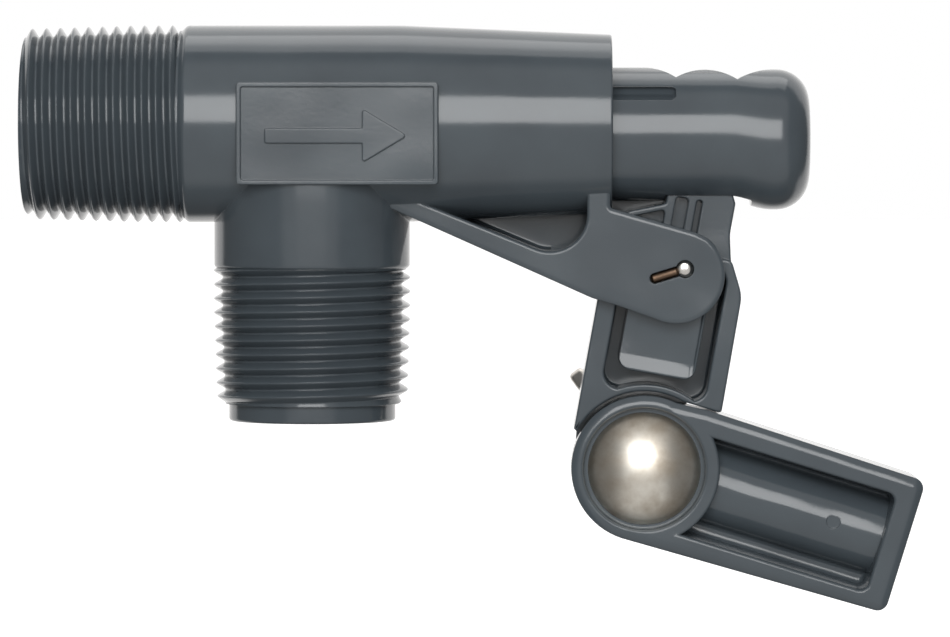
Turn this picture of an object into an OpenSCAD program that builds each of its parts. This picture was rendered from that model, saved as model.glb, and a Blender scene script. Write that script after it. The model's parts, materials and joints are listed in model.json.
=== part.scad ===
// Float valve with a moulded plastic body, a sliding plunger and a lever with a clamped float arm.
// The origin is the centre of the inlet's free end. +X runs along the inlet pipe towards the plunger,
// +Z is up and the outlet points down. The front, which carries the bolt head, faces -Y.
// The valve is drawn open: the lever hangs against its lower stop.

/* [Pipe threads] */
// Outside diameter of both male pipe threads at the plain end
pipe_od = 26.67; // [26.2:0.01:27]
// Distance between two thread crests
thread_pitch = 1.814; // [1.7:0.001:1.9]
// Length of the inlet thread
inlet_thread_l = 21.3; // [18:0.1:22]
// Length of the outlet thread
outlet_thread_l = 18.1; // [15:0.1:18.5]

/* [Body] */
// Overall length of the horizontal tube, thread included
tube_l = 79.4; // [78.5:0.1:80]
// Outside radius of the tube at its open right end
tube_end_r = 12.1; // [11.8:0.05:12.3]
// Radius of the water way behind the inlet thread
inlet_bore_r = 9.2; // [8:0.1:9.4]
// Radius of the bore that guides the plunger
guide_bore_r = 10.7; // [10.65:0.01:10.8]
// Distance from the inlet's free end to the outlet's axis
outlet_x = 38.8; // [38:0.1:39.5]
// Distance from the inlet's axis down to the outlet's free end
outlet_drop = 40.2; // [39:0.1:41]
// Radius of the outlet's water way
outlet_bore_r = 8.6; // [8:0.1:8.8]

/* [Lever] */
// Angle of the lever from upright when the valve is open
lever_tilt = 10.2; // [9.5:0.1:10.5]
// Thickness of the lever between the bracket's ears
lever_t = 10; // [9.6:0.1:10]
// Distance from the pivot up to the centre of the lever's round tip
tip_reach = 12.5; // [12.3:0.1:12.7]

/* [Float arm] */
// Angle of the float arm below level
arm_tilt = 17.2; // [16.8:0.1:18]
// Thickness of the float arm
arm_t = 14; // [13:0.1:14.4]
// Length from the clamp bolt to the arm's end
arm_l = 36.7; // [34:0.1:38]

/* [Clamp bolt] */
// Radius of the bolt's shank
bolt_r = 3.12; // [3:0.01:3.13]
// Length of the bolt under its head
bolt_l = 25.4; // [25:0.1:27]

/* [Hidden] */

// Fineness of round edges; every round surface stays a true one
$fn = 96;
// Overlap that lets a cut run past a face
cut = 1;
// Colour of the moulded plastic
plastic = [0.30, 0.34, 0.37];
// Colour of the stainless steel
steel = [0.78, 0.78, 0.76];
// Colour of the rubber seals
rubber = [0.08, 0.08, 0.09];

// Radius of the plain tube
tube_r = pipe_od / 2;
// Growth of a pipe thread's radius for each millimetre away from its free end
taper = 1 / 32;
// Depth of a pipe thread from crest to root
thread_depth = 0.73 * thread_pitch;
// Width of the flat on a thread crest and in a thread root
thread_flat = 0.12;
// Where the tube starts to narrow towards its open end
tube_taper_x = 50.8;

// Ends of the partition that holds the orifice seat
partition_x0 = 25.5;
partition_x1 = 29.5;
// Seat: outside, hole and lip radii, and where its lip ends
seat_r = 6.2;
orifice_r = 4.2;
seat_lip_r = 5.2;
seat_lip_x = 31.5;

// Radius of the neck, a little under the tube's so that the two meet along a clean line
neck_r = 13.28;
// Height of the neck's plain end and of the plain ring below the outlet thread
neck_end_z = outlet_thread_l - outlet_drop + 2.3;
pilot_l = 2.3;
pilot_r = 11.3;

// Flat panel on the front of the tube: its left, right, bottom and top edges and its face
panel_x0 = 28.6;
panel_x1 = 56;
panel_z0 = -8.5;
panel_z1 = 5.3;
panel_y = -13.55;
// Width and height of the panel's raised border
border_w = 0.6;
border_h = 0.35;

// Bracket: outer and inner faces of the two ears; the wall behind the hollow is as thick as an ear
ear_out_y = 7.8;
ear_in_y = 5.3;
// Round end of the ears: its centre and radius
ear_end = [88, -20.3];
ear_end_r = 6.5;
// Pivot pin: its place, radius and half length, and its running clearance in the lever
pivot = [89.15, -19.5];
pin_r = 1.19;
pin_half_l = 7.35;
running = 0.07;

// Plunger: radius of its guide lands, and centre height and radius of its tail
land_r = guide_bore_r - 0.08;
tail_z = -1.35;
tail_r = 9.1;
tail_end_x = 106.4;
// Round lobe at the tail's end
lobe_x = 96.5;
lobe_z = -2.1;
lobe_r = 9.5;
// Height angle of the straight groove in the front of the tail, above level
groove_angle = 43;
// Stroke of the plunger from open to closed
stroke = 2 * tip_reach * sin(lever_tilt);
// Front face of the rubber seal when the valve is open
seal_x = seat_lip_x + stroke + 0.05;
seal_t = 3;
seal_r = 7;
// Centre of the O-ring, its cord radius and the radius of its centre circle
ring_x = 56.5;
ring_cord_r = 1.25;
ring_mid_r = 9.4;

// Lever tip: radius, thickness and side clearance in the plunger's slot
tip_r = 4.5;
tip_t = 7;
tip_gap = 0.3;
// Clamp bolt's place in the lever's own upright frame
bolt_u = -0.54;
bolt_v = -27.45;
// Radii around the bolt: arm head, lever's arched edge and the lever's rear boss
head_r = 9.85;
arch_r = 10.7;
boss_r = 9.6;
// Depth of the groove in the lever's front
groove_depth = 8.5;
// Room between the arm's head and the lever's rear half
lap_gap = 0.05;
// Depth of the recess that holds the bolt's head
recess_depth = 1.2;
recess_r = 8.3;
// Half the thickness of the arm's web inside its pockets
arm_web_y = 1.25;
// Rod boss in the arm: its radius, height above the bolt's line and hole
rod_boss_r = 5.5;
rod_t = 0.4;
rod_hole_r = 2.55;
rod_hole_l = 20;

// Bolt centre in the valve's frame
bolt_x = pivot[0] + bolt_u * cos(lever_tilt) + bolt_v * sin(lever_tilt);
bolt_z = pivot[1] - bolt_u * sin(lever_tilt) + bolt_v * cos(lever_tilt);
// Stack on the rear of the lever: washers and wing nut
lap_back_y = lever_t / 2;
flat_washer_t = 1.2;
lock_washer_t = 1.6;
nut_y = lap_back_y + flat_washer_t + lock_washer_t;
nut_t = 6;
// Turn of the wings about the bolt, from level
wing_angle = 53;

// A flat shape drawn in X and Z, given thickness from y0 to y1
module slab(y0, y1) {
    translate([0, y1, 0]) rotate([90, 0, 0]) linear_extrude(height = y1 - y0) children();
}

// A profile of radius and distance, turned round the X axis
module turned_x() {
    rotate([0, 90, 0]) rotate_extrude() children();
}

// A disc across the tube's axis from x0 to x1
module disc_x(x0, x1, r) {
    translate([x0, 0, 0]) rotate([0, 90, 0]) cylinder(r = r, h = x1 - x0);
}

// A disc along Y at a place in X and Z
module disc_y(place, y0, y1, r) {
    translate([place[0], y0, place[1]]) rotate([-90, 0, 0]) cylinder(r = r, h = y1 - y0);
}

// Crest radius of a pipe thread at a distance from its free end
function crest_r(s) = min(tube_r, tube_r - taper * (15 - s));

// Profile points of one thread ridge whose middle is s from the free end
function ridge(s) = [
    [crest_r(s) - thread_depth, s - thread_pitch / 2 + thread_flat],
    [crest_r(s), s - thread_flat],
    [crest_r(s), s + thread_flat],
    [crest_r(s) - thread_depth, s + thread_pitch / 2 - thread_flat]
];

// Male thread as a stack of ridges; start is the free end's plain length and end the run of the stack
module thread_profile(start, end) {
    count = floor((end - start) / thread_pitch);
    polygon(concat(
        [[0, start], [crest_r(start) - thread_depth, start]],
        [for (i = [0 : count - 1]) each ridge(start + (i + 0.5) * thread_pitch)],
        [[crest_r(end) - thread_depth, end], [0, end]]
    ));
}

// Where a point of the lever's upright frame lies in the valve's frame
module lever_frame() {
    translate([pivot[0], 0, pivot[1]]) rotate([0, lever_tilt, 0]) children();
}

// The arm's own frame: X along the arm from the bolt
module arm_frame() {
    translate([bolt_x, 0, bolt_z]) rotate([0, arm_tilt, 0]) children();
}

module tube_solid() {
    turned_x() thread_profile(0, inlet_thread_l);
    turned_x() polygon([
        [0, inlet_thread_l - 0.01], [tube_r - 0.7, inlet_thread_l - 0.01], [tube_r, inlet_thread_l + 0.7],
        [tube_r, tube_taper_x], [tube_end_r, tube_l], [0, tube_l]
    ]);
}

module neck_solid() {
    translate([outlet_x, 0, -outlet_drop]) {
        rotate_extrude() thread_profile(pilot_l, pilot_l + outlet_thread_l);
        cylinder(r = pilot_r, h = pilot_l + cut);
        translate([0, 0, outlet_drop + neck_end_z]) cylinder(r = neck_r, h = -neck_end_z);
    }
}

// Flow arrow for the panel
module arrow_shape() {
    translate([33, -2.6]) square([14, 2]);
    polygon([[46, -5.2], [52, -1.6], [46, 2]]);
}

module panel() {
    translate([panel_x0, panel_y, panel_z0])
        cube([panel_x1 - panel_x0, -panel_y - 5, panel_z1 - panel_z0]);
    slab(panel_y - border_h, panel_y + 0.1) difference() {
        translate([panel_x0, panel_z0]) square([panel_x1 - panel_x0, panel_z1 - panel_z0]);
        translate([panel_x0 + border_w, panel_z0 + border_w])
            square([panel_x1 - panel_x0 - 2 * border_w, panel_z1 - panel_z0 - 2 * border_w]);
    }
    slab(panel_y - border_h, panel_y + 0.1) arrow_shape();
}

// Slanted rib from the neck to the ears
module rib_shape() {
    polygon([[46, -9], [50, -9], [69.3, -16.9], [72.5, -18.1], [76.7, -18.1], [76.7, -23.4], [46, -9.7]]);
}

// One ear, with its round end and the hollow curve above the rib
module ear_shape() {
    difference() {
        polygon([
            [71, -17.6], [71, -12.1], [76, -12.1], [76, -8], [79.2, -8], [79.2, -11.3],
            [90, -14.1], [88, -20.3], [86.2, -26.5], [79.8, -24.4], [76.7, -23.4]
        ]);
        translate([71, -12.1]) circle(r = 5);
    }
    translate(ear_end) circle(r = ear_end_r);
}

// Guard on top of the rear ear, behind the plunger's tail
module guard_shape() {
    polygon([[78.6, -16], [78.6, -9.6], [88, -9.6], [90, -13.6], [90, -16]]);
}

// Rear wall between the tube and the rib
module web_shape() {
    polygon([[50, -9], [77, -9], [77, -23], [69, -19], [50, -11]]);
}

module valve_body() {
    color(plastic) difference() {
        union() {
            tube_solid();
            neck_solid();
            panel();
            slab(-ear_out_y, ear_out_y) rib_shape();
            slab(-ear_out_y, -ear_in_y) ear_shape();
            slab(ear_in_y, ear_out_y) ear_shape();
            slab(ear_in_y, ear_out_y) web_shape();
            slab(ear_in_y, ear_out_y) guard_shape();
        }
        disc_x(-cut, partition_x0, inlet_bore_r);
        disc_x(partition_x0 - cut, partition_x1 + cut, seat_r);
        disc_x(partition_x1, tube_l + cut, guide_bore_r);
        translate([outlet_x, 0, -outlet_drop - cut]) cylinder(r = outlet_bore_r, h = outlet_drop - 4);
        disc_y(pivot, -ear_out_y - cut, ear_out_y + cut, pin_r);
    }
}

module orifice_seat() {
    color(plastic) turned_x() polygon([
        [orifice_r, partition_x0 - 0.8], [seat_r + 1.2, partition_x0 - 0.8], [seat_r + 1.2, partition_x0],
        [seat_r, partition_x0], [seat_r, partition_x1], [seat_lip_r + 0.3, partition_x1 + 0.6],
        [seat_lip_r - 0.1, seat_lip_x], [orifice_r + 0.3, seat_lip_x], [orifice_r, seat_lip_x - 0.3]
    ]);
}

// Side profile of the tail: a flat, a round lobe and a shallow dip ahead of the end lobe
module tail_side_shape() {
    dip_z = 5.95;
    bump_r = 7.8;
    translate([60, -14]) square([tail_end_x - 59, 14 + dip_z]);
    translate([60, 0]) square([23.6, 7.6]);
    translate([83.6, 7.6 - bump_r]) circle(r = bump_r);
    translate([91.9, 7.3 - bump_r]) circle(r = bump_r);
    translate([lobe_x, 0]) square([tail_end_x - lobe_x + 1, 10]);
}

// Half section of the tail's end lobe: radius against distance along the tube
module end_lobe_section() {
    corner = 4.5;
    polygon([[0, lobe_x], [8.2, lobe_x], [lobe_r, 101.4], [lobe_r, tail_end_x - corner],
             [lobe_r - corner, tail_end_x], [0, tail_end_x]]);
    translate([lobe_r - corner, tail_end_x - corner]) circle(r = corner);
}

module plunger_tail() {
    difference() {
        intersection() {
            union() {
                translate([0, 0, tail_z]) disc_x(62, lobe_x + 0.1, tail_r);
                translate([0, 0, lobe_z]) turned_x() end_lobe_section();
            }
            slab(-12, 12) tail_side_shape();
        }
        // Straight groove up the front, open towards the tube
        translate([0, 0, tail_z]) rotate([-groove_angle, 0, 0]) translate([61, -tail_r - cut, -1])
            cube([26.9, cut + 1, 2]);
    }
}

module plunger() {
    slot_x = pivot[0] + tip_reach * sin(lever_tilt);
    slot_half = tip_r + tip_gap;
    color(plastic) difference() {
        union() {
            plunger_tail();
            turned_x() polygon([
                [0, seal_x + seal_t], [seal_r + 0.05, seal_x + seal_t], [seal_r + 0.05, seal_x + 0.9],
                [seal_r + 1.3, seal_x + 0.9], [seal_r + 1.3, seal_x + seal_t + 2], [6, seal_x + seal_t + 4],
                [6, 48], [7, 50], [land_r, 50], [land_r, ring_x - 1.6], [ring_mid_r - ring_cord_r, ring_x - 1.6],
                [ring_mid_r - ring_cord_r, ring_x + 1.6], [land_r, ring_x + 1.6], [land_r, 62.5], [0, 62.5]
            ]);
            disc_x(69, 77, land_r);
        }
        // Hole for the seal's screw
        disc_x(seal_x, seal_x + seal_t + 9, 1.5);
        // Slot for the lever's tip, open at the bottom, where it flares to the right
        slab(-tip_t / 2 - 0.2, tip_t / 2 + 0.2) polygon([
            [slot_x - slot_half, -2], [slot_x - slot_half, -20], [slot_x + slot_half + 2.1, -20],
            [slot_x + slot_half + 2.1, -10.5], [slot_x + slot_half, -7], [slot_x + slot_half, -2]
        ]);
    }
}

module seal_disc() {
    color(rubber) turned_x() polygon([
        [1.6, seal_x], [seal_r - 0.4, seal_x], [seal_r, seal_x + 0.4], [seal_r, seal_x + seal_t],
        [1.6, seal_x + seal_t]
    ]);
}

module seal_washer() {
    color(steel) turned_x() polygon([
        [1.6, seal_x - 0.8], [3.3, seal_x - 0.8], [3.3, seal_x], [1.6, seal_x]
    ]);
}

module seal_screw() {
    color(steel) difference() {
        turned_x() polygon([
            [0, seal_x - 2.6], [1.6, seal_x - 2.6], [2.4, seal_x - 2.2], [2.7, seal_x - 1.6],
            [2.7, seal_x - 0.8], [1.5, seal_x - 0.8], [1.5, seal_x + 11.5], [0, seal_x + 11.5]
        ]);
        translate([seal_x - 3.2, -0.35, -4]) cube([1.2, 0.7, 8]);
    }
}

module plunger_o_ring() {
    color(rubber) translate([ring_x, 0, 0]) rotate([0, 90, 0]) rotate_extrude()
        translate([ring_mid_r, 0]) circle(r = ring_cord_r);
}

// Outline of the lever above its arched lower edge
module lever_shape() {
    difference() {
        polygon([
            [-10.8, -2], [-10.8, bolt_v], [bolt_u, bolt_v], [2.02, -17.05], [8.3, -18.2], [8.3, -2.2],
            [6.1, 2], [5.3, 5.6], [5.3, 9.8], [4.4, 11.6], [3.4, tip_reach], [-3.4, tip_reach], [-4, 10.6],
            [-4, 8.2], [-8.8, 6.3], [-10.2, 4.5]
        ]);
        translate([bolt_u, bolt_v]) circle(r = arch_r);
    }
}

// Round-cornered pocket outline
module round_rect(x0, y0, x1, y1, r) {
    for (x = [x0 + r, x1 - r], y = [y0 + r, y1 - r]) translate([x, y]) circle(r = r);
    translate([x0 + r, y0]) square([x1 - x0 - 2 * r, y1 - y0]);
    translate([x0, y0 + r]) square([x1 - x0, y1 - y0 - 2 * r]);
}

// Deep groove in the front that leaves a raised pad inside the lever's rim
module lever_groove_shape() {
    difference() {
        round_rect(-8.2, -17.5, 5.9, 1, 2.2);
        round_rect(-6.5, -14.7, 3.9, 4, 1.5);
        translate([bolt_u, bolt_v]) circle(r = 11.4);
    }
}

module lever() {
    half = lever_t / 2;
    color(plastic) lever_frame() difference() {
        union() {
            difference() {
                slab(-half, half) lever_shape();
                // The upper part is thinner, to enter the plunger's slot
                for (side = [-1, 1]) translate([-20, side > 0 ? tip_t / 2 : -half - cut, 2])
                    cube([40, half - tip_t / 2 + cut, 30]);
            }
            disc_y([0, tip_reach], -tip_t / 2, tip_t / 2, tip_r);
            // Rear half of the lap joint, round the bolt
            slab(lap_gap, half) {
                translate([bolt_u, bolt_v]) circle(r = boss_r);
                polygon([[-10.8, -20], [-10.1, bolt_v + 1], [bolt_u, bolt_v], [bolt_u + 6, -20.3], [1.5, -15]]);
            }
        }
        slab(-half - cut, -half + groove_depth) lever_groove_shape();
        disc_y([0, 0], -half - cut, half + cut, pin_r + running);
        disc_y([bolt_u, bolt_v], -cut, half + cut, bolt_r + 0.08);
    }
}

module pivot_pin() {
    dome = 0.35;
    color(steel) translate([pivot[0], 0, pivot[1]]) rotate([90, 0, 0]) rotate_extrude() polygon([
        [0, -pin_half_l], [pin_r * 0.6, -pin_half_l + 0.08], [pin_r, -pin_half_l + dome],
        [pin_r, pin_half_l - dome], [pin_r * 0.6, pin_half_l - 0.08], [0, pin_half_l]
    ]);
}

// Outline of the float arm; the round head is centred on the bolt
module arm_shape() {
    polygon([
        [0, 0], [1.5, 9.73], [6, 10.05], [arm_l - 0.5, 9.6], [arm_l, 9.1], [arm_l, -8.5],
        [arm_l - 0.5, -9], [0, -head_r]
    ]);
    circle(r = head_r);
}

// Pocket in each side of the arm, ending in a curve round the bolt's head
module arm_pocket_shape() {
    difference() {
        round_rect(4, -7, arm_l - 3, 6.7, 1.1);
        circle(r = head_r + 0.3);
    }
}

module float_arm() {
    half = arm_t / 2;
    color(plastic) arm_frame() difference() {
        union() {
            slab(-half, -lap_gap) arm_shape();
            slab(-lap_gap, half) difference() {
                arm_shape();
                translate([-20, -20]) square([26, 40]);
                circle(r = head_r + 0.35);
            }
        }
        for (side = [-1, 1]) difference() {
            slab(side > 0 ? arm_web_y : -half - cut, side > 0 ? half + cut : -arm_web_y) arm_pocket_shape();
            translate([8, 0, rod_t]) rotate([0, 90, 0]) cylinder(r = rod_boss_r, h = arm_l);
        }
        translate([arm_l - rod_hole_l, 0, rod_t]) rotate([0, 90, 0]) cylinder(r = rod_hole_r, h = rod_hole_l + cut);
        disc_y([0, 0], -half - cut, -half + recess_depth, recess_r);
        translate([-bolt_r - 0.05, -half - cut, -bolt_r - 0.05])
            cube([2 * bolt_r + 0.1, half + 2 * cut, 2 * bolt_r + 0.1]);
    }
}

module arm_bolt() {
    seat_y = -arm_t / 2 + recess_depth;
    dome_r = 7.6;
    dome_h = 3.4;
    sphere_r = (dome_r * dome_r + dome_h * dome_h) / (2 * dome_h);
    color(steel) arm_frame() {
        intersection() {
            translate([0, seat_y - dome_h + sphere_r, 0]) sphere(r = sphere_r);
            disc_y([0, 0], seat_y - dome_h - cut, seat_y, dome_r);
        }
        // Square neck that keys the bolt into the arm
        translate([-bolt_r, seat_y - 0.1, -bolt_r]) cube([2 * bolt_r, 3.6, 2 * bolt_r]);
        translate([0, seat_y, 0]) rotate([-90, 0, 0]) rotate_extrude() polygon([
            [0, 0], [bolt_r, 0], [bolt_r, bolt_l - 0.6], [bolt_r - 0.6, bolt_l], [0, bolt_l]
        ]);
    }
}

module flat_washer() {
    color(steel) difference() {
        disc_y([bolt_x, bolt_z], lap_back_y, lap_back_y + flat_washer_t, 7.9);
        disc_y([bolt_x, bolt_z], 0, 20, 3.55);
    }
}

// Split ring, cut through on one side
module lock_washer() {
    color(steel) translate([bolt_x, lap_back_y + flat_washer_t, bolt_z]) rotate([-90, 0, 0])
        rotate_extrude(angle = 348, start = 40) translate([3.35, 0]) square([2.7, lock_washer_t]);
}

// One wing, drawn to the right of the nut's axis
module wing_shape() {
    polygon([[3.5, 0.8], [5.2, 0.4], [11, 3.4], [15.4, 8.4], [10.2, 10.9], [6.6, 6.2], [3.5, 5.4]]);
    translate([12.8, 9.2]) circle(r = 2.75);
}

module wing_nut() {
    color(steel) translate([bolt_x, nut_y, bolt_z]) rotate([-90, 0, 0]) difference() {
        union() {
            rotate_extrude() polygon([[0, 0], [5.6, 0], [5.6, 0.8], [4.7, nut_t - 0.5], [4.2, nut_t], [0, nut_t]]);
            for (side = [0, 180]) rotate([0, 0, side + wing_angle]) translate([0, 1.1, 0]) rotate([90, 0, 0])
                linear_extrude(height = 2.2) wing_shape();
        }
        translate([0, 0, -cut]) cylinder(r = bolt_r + 0.08, h = nut_t + 2 * cut);
    }
}

valve_body();
orifice_seat();
plunger();
seal_disc();
seal_washer();
seal_screw();
plunger_o_ring();
lever();
pivot_pin();
float_arm();
arm_bolt();
flat_washer();
lock_washer();
wing_nut();
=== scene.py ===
"""Visual model of a float valve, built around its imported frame.

Shapes are worked out in millimetres in the valve's own frame and scaled to metres when a piece is
finished. +X runs along the inlet pipe towards the plunger, +Z is up, and the front faces -Y.
"""

import json
import logging
import math
from dataclasses import dataclass
from enum import Enum

import bmesh
import bpy
from mathutils import Matrix, Vector


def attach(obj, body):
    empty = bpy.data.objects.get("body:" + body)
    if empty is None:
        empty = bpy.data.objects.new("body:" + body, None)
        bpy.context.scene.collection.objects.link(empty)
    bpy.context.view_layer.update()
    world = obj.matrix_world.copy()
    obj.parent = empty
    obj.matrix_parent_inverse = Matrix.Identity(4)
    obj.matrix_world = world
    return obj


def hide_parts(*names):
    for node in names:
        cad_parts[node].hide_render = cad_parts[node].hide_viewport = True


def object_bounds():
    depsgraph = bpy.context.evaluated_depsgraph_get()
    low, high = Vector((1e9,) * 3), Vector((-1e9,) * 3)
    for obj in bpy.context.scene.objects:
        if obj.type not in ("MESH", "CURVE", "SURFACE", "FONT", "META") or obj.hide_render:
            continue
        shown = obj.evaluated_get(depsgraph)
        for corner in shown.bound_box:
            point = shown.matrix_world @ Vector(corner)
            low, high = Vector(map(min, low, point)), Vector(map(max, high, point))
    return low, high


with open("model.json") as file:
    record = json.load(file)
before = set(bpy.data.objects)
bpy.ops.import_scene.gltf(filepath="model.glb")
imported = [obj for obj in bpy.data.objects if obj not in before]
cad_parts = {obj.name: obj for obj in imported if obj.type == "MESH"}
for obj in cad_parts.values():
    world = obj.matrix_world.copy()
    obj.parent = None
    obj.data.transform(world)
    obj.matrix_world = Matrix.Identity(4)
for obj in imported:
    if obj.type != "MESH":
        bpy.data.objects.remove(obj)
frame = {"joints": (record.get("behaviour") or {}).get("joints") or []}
cad_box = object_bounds()

LOG = logging.getLogger("float_valve")
MM = 0.001
Point = tuple[float, float]
Triple = tuple[float, float, float]
Colour = Triple
Outline = list[Point]
Corners = list[tuple[float, ...]]
Section = tuple[float, Outline]
Mesh = bmesh.types.BMesh
Material = bpy.types.Material
Socket = bpy.types.NodeSocket

# Limit on how far an offset moves a sharp corner.
MITRE_LIMIT = 0.3
# A pocket's cutter ends this far past its face, and spreads there by this share of its lip.
PAST_FACE = 1.5
LIP_FLARE = 1.02


class Axis(Enum):
    """Direction that a turned shape's own X axis is sent to."""

    X = Matrix.Identity(4)
    Y = Matrix.Rotation(math.radians(90), 4, "Z")
    Z = Matrix.Rotation(math.radians(-90), 4, "Y")


class Join(Enum):
    """Ways to combine two closed meshes."""

    UNION = "UNION"
    CUT = "DIFFERENCE"
    COMMON = "INTERSECT"


# ---- Outlines -----------------------------------------------------------------------------------


def arc(centre: Point, radius: float, start: float, stop: float, step: float = 5.0) -> Outline:
    """Points along a circular arc.

    Args:
        centre: Centre of the arc.
        radius: Radius of the arc.
        start: First angle in degrees, counter-clockwise from the outline's first axis.
        stop: Last angle in degrees.
        step: Largest angle between two points.

    Returns:
        The points, ends included.
    """
    count = max(2, math.ceil(abs(stop - start) / step))
    angles = [math.radians(start + (stop - start) * i / count) for i in range(count + 1)]
    return [(centre[0] + radius * math.cos(a), centre[1] + radius * math.sin(a)) for a in angles]


def circle(centre: Point, radius: float, step: float = 4.0) -> Outline:
    """A full circle, counter-clockwise."""
    return arc(centre, radius, 0, 360, step)[:-1]


def rounded(corners: Corners, closed: bool = True, step: float = 12.0) -> Outline:
    """An outline whose corners are rounded.

    Args:
        corners: Corner points, each with an optional third value, its radius.
        closed: Whether the last corner joins the first.
        step: Largest angle between two points of a rounding.

    Returns:
        The points of the outline.
    """
    points: Outline = []
    count = len(corners)
    for i, corner in enumerate(corners):
        here = Vector(corner[:2])
        radius = corner[2] if len(corner) > 2 else 0.0
        at_end = not closed and i in (0, count - 1)
        if radius <= 0 or at_end:
            points.append(tuple(here))
            continue
        before = (Vector(corners[i - 1][:2]) - here).normalized()
        after = (Vector(corners[(i + 1) % count][:2]) - here).normalized()
        half = before.angle(after) / 2
        centre = here + (before + after).normalized() * radius / math.sin(half)
        first = here + before * radius / math.tan(half) - centre
        last = here + after * radius / math.tan(half) - centre
        swing = first.angle_signed(last)
        steps = max(2, math.ceil(abs(math.degrees(swing)) / step))
        for k in range(steps + 1):
            turn = Matrix.Rotation(-swing * k / steps, 2)
            points.append(tuple(centre + turn @ first))
    return points


def box_outline(x0: float, z0: float, x1: float, z1: float, radius: float = 0.0) -> Outline:
    """A rectangle with rounded corners, counter-clockwise."""
    return rounded([(x0, z0, radius), (x1, z0, radius), (x1, z1, radius), (x0, z1, radius)])


def grown(outline: Outline, by: float) -> Outline:
    """An outline offset outwards, or inwards where the distance is negative.

    Args:
        outline: A closed outline.
        by: Distance that every side moves out.

    Returns:
        The moved outline, with the same number of points.
    """
    if not by:
        return list(outline)
    pairs = list(zip(outline, outline[1:] + outline[:1]))
    turn = math.copysign(1.0, sum(a[0] * b[1] - b[0] * a[1] for a, b in pairs))
    normals = [(Vector(b) - Vector(a)).normalized() for a, b in pairs]
    normals = [Vector((n.y, -n.x)) * turn for n in normals]
    moved = []
    for i, point in enumerate(outline):
        one, two = normals[i - 1], normals[i]
        spread = (one + two) / max(MITRE_LIMIT, 1 + one.dot(two))
        moved.append(tuple(Vector(point) + spread * by))
    return moved


# ---- Solids -------------------------------------------------------------------------------------


def stack(sections: list[Section]) -> Mesh:
    """A closed solid through outlines that lie across the Y axis.

    Args:
        sections: Y and outline of each section, all outlines with the same number of points.

    Returns:
        The solid, with a flat face at each end.
    """
    mesh = bmesh.new()
    y, outline = sections[0]
    ring = [mesh.verts.new((x, y, z)) for x, z in outline]
    mesh.faces.new(ring)
    for y, outline in sections[1:]:
        edges = [mesh.edges.get((a, b)) for a, b in zip(ring, ring[1:] + ring[:1])]
        made = bmesh.ops.extrude_edge_only(mesh, edges=edges)["geom"]
        fresh = {item for item in made if isinstance(item, bmesh.types.BMVert)}
        ring = [next(e.other_vert(v) for e in v.link_edges if e.other_vert(v) in fresh) for v in ring]
        for vert, (x, z) in zip(ring, outline):
            vert.co = (x, y, z)
    mesh.faces.new(ring)
    bmesh.ops.recalc_face_normals(mesh, faces=mesh.faces)
    return mesh


def rounding(radius: float, sweep: float = 90.0, steps: int = 4) -> list[Point]:
    """Inset and drop of each point of a rounded rim, from its outer edge to the face.

    Args:
        radius: Radius of the rounding.
        sweep: Tilt of the surface at the outer edge, in degrees.
        steps: Number of facets.

    Returns:
        Pairs of inset from the outer edge and drop below the face.
    """
    if not radius:
        return [(0.0, 0.0)]
    tilts = [math.radians(sweep * i / steps) for i in range(steps, -1, -1)]
    return [(radius * (math.sin(tilts[0]) - math.sin(t)), radius * (1 - math.cos(t))) for t in tilts]


def plate(outline: Outline, y0: float, y1: float, rim: float = 0.0, back_rim: float | None = None,
          sweep: float = 90.0) -> Mesh:
    """A flat plate with rounded rims.

    Args:
        outline: Shape of the plate in X and Z.
        y0: Front face.
        y1: Back face.
        rim: Radius of the front face's rim.
        back_rim: Radius of the back face's rim, the front's if left out.
        sweep: Tilt of the surface where a rim meets the wall, in degrees.

    Returns:
        The plate.
    """
    back_rim = rim if back_rim is None else back_rim
    sections = [(y0 + drop, grown(outline, -inset)) for inset, drop in reversed(rounding(rim, sweep))]
    sections += [(y1 - drop, grown(outline, -inset)) for inset, drop in rounding(back_rim, sweep)]
    return stack(sections)


def well(outline: Outline, floor_y: float, face_y: float, lip: float, fillet: float = 0.0,
         draft: float = 0.0) -> Mesh:
    """A cutter for a pocket whose mouth is rounded.

    Args:
        outline: Shape of the pocket between its lip and its floor.
        floor_y: Y of the pocket's floor.
        face_y: Y of the face that the pocket opens in.
        lip: Radius of the mouth's rim. A negative one narrows the mouth, for a pad left in a pocket.
        fillet: Radius between the wall and the floor.
        draft: Inset of the wall's foot.

    Returns:
        The cutter, which runs past the face.
    """
    out = math.copysign(1.0, face_y - floor_y)
    sections: list[Section] = []
    for rise, inset in rounding(fillet):
        sections.append((floor_y + out * rise, grown(outline, -inset - draft)))
    for spread, drop in rounding(abs(lip)):
        sections.append((face_y - out * drop, grown(outline, math.copysign(spread, lip))))
    sections.append((face_y + out * PAST_FACE, grown(outline, lip * LIP_FLARE)))
    return stack(sections)


def lathe(profile: Outline, axis: Axis = Axis.X, place: Vector | None = None, steps: int = 128,
          closed: bool = False) -> Mesh:
    """A turned shape.

    Args:
        profile: Distance along the axis and radius of each point.
        axis: Direction of the axis.
        place: Where the axis's zero lies.
        steps: Number of facets around.
        closed: Whether the profile is a ring's section, which doesn't reach the axis.

    Returns:
        The turned mesh.
    """
    mesh = bmesh.new()
    ring = [mesh.verts.new((along, 0.0, radius)) for along, radius in profile]
    following = ring[1:] + ring[:1] if closed else ring[1:]
    edges = [mesh.edges.new(pair) for pair in zip(ring, following)]
    bmesh.ops.spin(mesh, geom=ring + edges, cent=(0, 0, 0), axis=(1, 0, 0), angle=math.tau,
                   steps=steps, use_merge=True)
    bmesh.ops.remove_doubles(mesh, verts=mesh.verts, dist=1e-4)
    bmesh.ops.recalc_face_normals(mesh, faces=mesh.faces)
    return placed(mesh, Matrix.Translation(place or Vector()) @ axis.value)


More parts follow.
